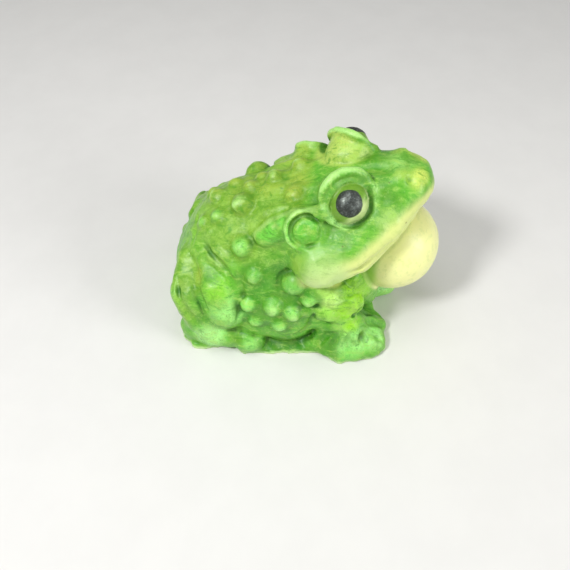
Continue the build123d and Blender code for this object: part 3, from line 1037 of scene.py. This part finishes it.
def painted_casting():
    """The washes, with dark green in the hollows that is part gathered wash and part painted shade, pale
    crests that are part dry-brushing and part painted highlight, streaks, speckle and a worn rim.
    """
    paint = Nodes("painted_casting")
    hollow = paint.attribute("hollow")
    skin = paint.maths("SUBTRACT", 1, paint.attribute("plain"))
    cloud = paint.noise(3, 4, 0.65, 0.6)
    streaks = paint.noise(1.2, 4, 0.7, 1.6, stretch=(1, 0.35, 0.8))
    grain = paint.noise(0.55, 4, 0.7)
    fine = paint.noise(0.22, 3, 0.6)

    def brushed(colour, tint, marks, low, high, strength):
        """A tint over a noise's marks, but not on the smooth parts."""
        return paint.over(colour, tint, paint.times(paint.step(marks, low, high, 0, strength), skin))

    colour = paint.attribute("wash", "Color")
    colour = brushed(colour, (70, 150, 36), cloud, 0.48, 0.68, 0.6)
    colour = brushed(colour, (166, 212, 100), streaks, 0.5, 0.66, 0.6)
    colour = brushed(colour, (66, 146, 40), streaks, 0.48, 0.34, 0.65)
    # Dark green in the hollows: part wash gathered in the creases, part painted shade.
    sunk = paint.plus(hollow, paint.times(grain, 0.35))
    pooled_wash_and_shade = paint.times(paint.step(sunk, 0.22, 0.85, 0, 0.9), paint.step(skin, 0, 1, 0.25, 1))
    colour = paint.over(colour, (44, 116, 20), pooled_wash_and_shade)
    # Pale paint on the crests: part dry-brushing on the high points, part painted highlight.
    drybrush_and_highlight = paint.plus(paint.attribute("crest"), paint.times(paint.plus(grain, streaks), 0.35))
    colour = brushed(colour, (190, 242, 146), drybrush_and_highlight, 0.42, 1, 0.8)
    colour = brushed(colour, (58, 132, 34), fine, 0.52, 0.7, 0.34)
    colour = brushed(colour, (204, 244, 144), grain, 0.56, 0.68, 0.22)
    colour = paint.over(colour, (150, 190, 90), paint.step(paint.noise(0.9, 3, 0.6), 0.5, 0.66, 0, 0.16))
    colour = paint.over(colour, (208, 200, 110), paint.step(cloud, 0.35, 0.65, 0, 0.06))
    specks = paint.times(paint.step(paint.cells(2.6), 0.07, 0.03), paint.step(paint.noise(2), 0.52, 0.58))
    colour = paint.over(colour, (104, 106, 44), paint.times(specks, 0.7))
    rim = paint.times(paint.attribute("rim"), paint.step(paint.noise(1.1), 0.35, 0.6, 0.5, 1))
    colour = paint.over(colour, (214, 240, 176), rim)
    colour = paint.over(colour, RESIN, paint.attribute("underside"))
    paint.join(paint.shader.inputs["Base Color"], paint.richer(colour, 1.05))

    rough = paint.step(paint.plus(grain, paint.times(hollow, 0.4)), 0.25, 1, 0.28, 0.55)
    paint.join(paint.shader.inputs["Roughness"], rough)
    paint.set({"Specular IOR Level": 0.4, "Coat Weight": 0.12, "Coat Roughness": 0.28,
               "Subsurface Weight": 0.08, "Subsurface Radius": (0.8, 1, 0.4), "Subsurface Scale": 0.0007})
    tooth = paint.times(grain, paint.step(skin, 0, 1, 0.2, 0.8))
    paint.bump(paint.plus(tooth, paint.times(fine, 0.35)), 0.7, 0.16)
    return paint.material


def pupil_bead():
    """Dark metal with pale flecks and darker specks."""
    metal = Nodes("pupil_bead")
    flecks = metal.times(metal.step(metal.noise(0.3, 4, 0.7), 0.5, 0.7), 0.35)
    colour = metal.over((66, 70, 66), (98, 104, 98), metal.step(metal.noise(1, 3), 0.35, 0.65))
    colour = metal.over(colour, (168, 182, 180), flecks)
    colour = metal.over(colour, (38, 40, 38), metal.step(metal.noise(0.45, 2), 0.56, 0.68, 0, 0.45))
    metal.join(metal.shader.inputs["Base Color"], colour)
    metal.join(metal.shader.inputs["Roughness"], metal.step(metal.noise(0.4), 0.3, 0.7, 0.32, 0.55))
    metal.set({"Metallic": 0.7})
    metal.bump(metal.noise(0.35, 3, 0.6), 0.6, 0.04)
    return metal.material


def studio_paper():
    """Slightly clouded pale paper."""
    paper = Nodes("studio_paper")
    clouds = paper.step(paper.noise(9, 3), 0.3, 0.7, 0, 0.35)
    paper.join(paper.shader.inputs["Base Color"], paper.over((226, 225, 222), (233, 232, 229), clouds))
    paper.set({"Roughness": 0.85})
    return paper.material


# ---- Studio ----

CAMERA_PLACE = (-67.63, -4.11, 90)
CAMERA_VIEW = (0.6068, 0.0638, -0.7923)
CAMERA_LENS = 39.16
FLOOR_REACH = 700   # half the floor's side, in millimetres


def aim(thing, eye_at, looks_at):
    """Puts a lamp or the camera somewhere, looking at a place; both in millimetres."""
    back = unit(np.array(eye_at, float) - np.array(looks_at, float))
    right = unit(np.cross((0, 0, 1), back))
    up = np.cross(back, right)
    rows = [[right[i], up[i], back[i], eye_at[i] * UNIT] for i in range(3)] + [[0, 0, 0, 1]]
    thing.matrix_world = Matrix(rows)


def lamp(name, place, target, size, watts):
    """A round lamp of a size in millimetres."""
    light = bpy.data.lights.new(name, "AREA")
    light.shape = "DISK"
    light.size = size * UNIT
    light.energy = watts
    thing = bpy.data.objects.new(name, light)
    bpy.context.scene.collection.objects.link(thing)
    aim(thing, place, target)


def studio():
    """The floor, the lamps, the light of the surroundings, and the camera."""
    mesh = bpy.data.meshes.new("floor")
    reach = FLOOR_REACH * UNIT
    corners = [(-reach, -reach, 0), (reach, -reach, 0), (reach, reach, 0), (-reach, reach, 0)]
    mesh.from_pydata(corners, [], [(0, 1, 2, 3)])
    floor = bpy.data.objects.new("floor", mesh)
    bpy.context.scene.collection.objects.link(floor)
    floor.data.materials.append(studio_paper())
    lamp("overhead", (-20, 30, 260), (0, 0, 10), 150, 0.17)
    lamp("key", (-120, 110, 210), (0, 0, 12), 45, 0.4)
    lamp("front", (-90, -220, 120), (0, -4, 12), 120, 0.3)
    world = bpy.data.worlds.new("studio")
    world.use_nodes = True
    background = world.node_tree.nodes["Background"]
    background.inputs["Color"].default_value = (1, 1, 1, 1)
    background.inputs["Strength"].default_value = 0.27
    bpy.context.scene.world = world
    camera = bpy.data.cameras.new("camera")
    camera.sensor_width = 36
    camera.lens = CAMERA_LENS
    camera.clip_start = 0.005
    thing = bpy.data.objects.new("camera", camera)
    bpy.context.scene.collection.objects.link(thing)
    aim(thing, CAMERA_PLACE, np.array(CAMERA_PLACE) + 100 * np.array(CAMERA_VIEW))
    bpy.context.scene.camera = thing
    bpy.context.scene.view_settings.view_transform = "Standard"


# ---- The scene ----

toad = toad_piece()
toad.data.materials.append(painted_casting())
bead_paint = pupil_bead()
for node, side in (("pupil_right", -1), ("pupil_left", 1)):
    bead = bead_piece(node + "_bead", node, side)
    bead.data.materials.append(bead_paint)
studio()
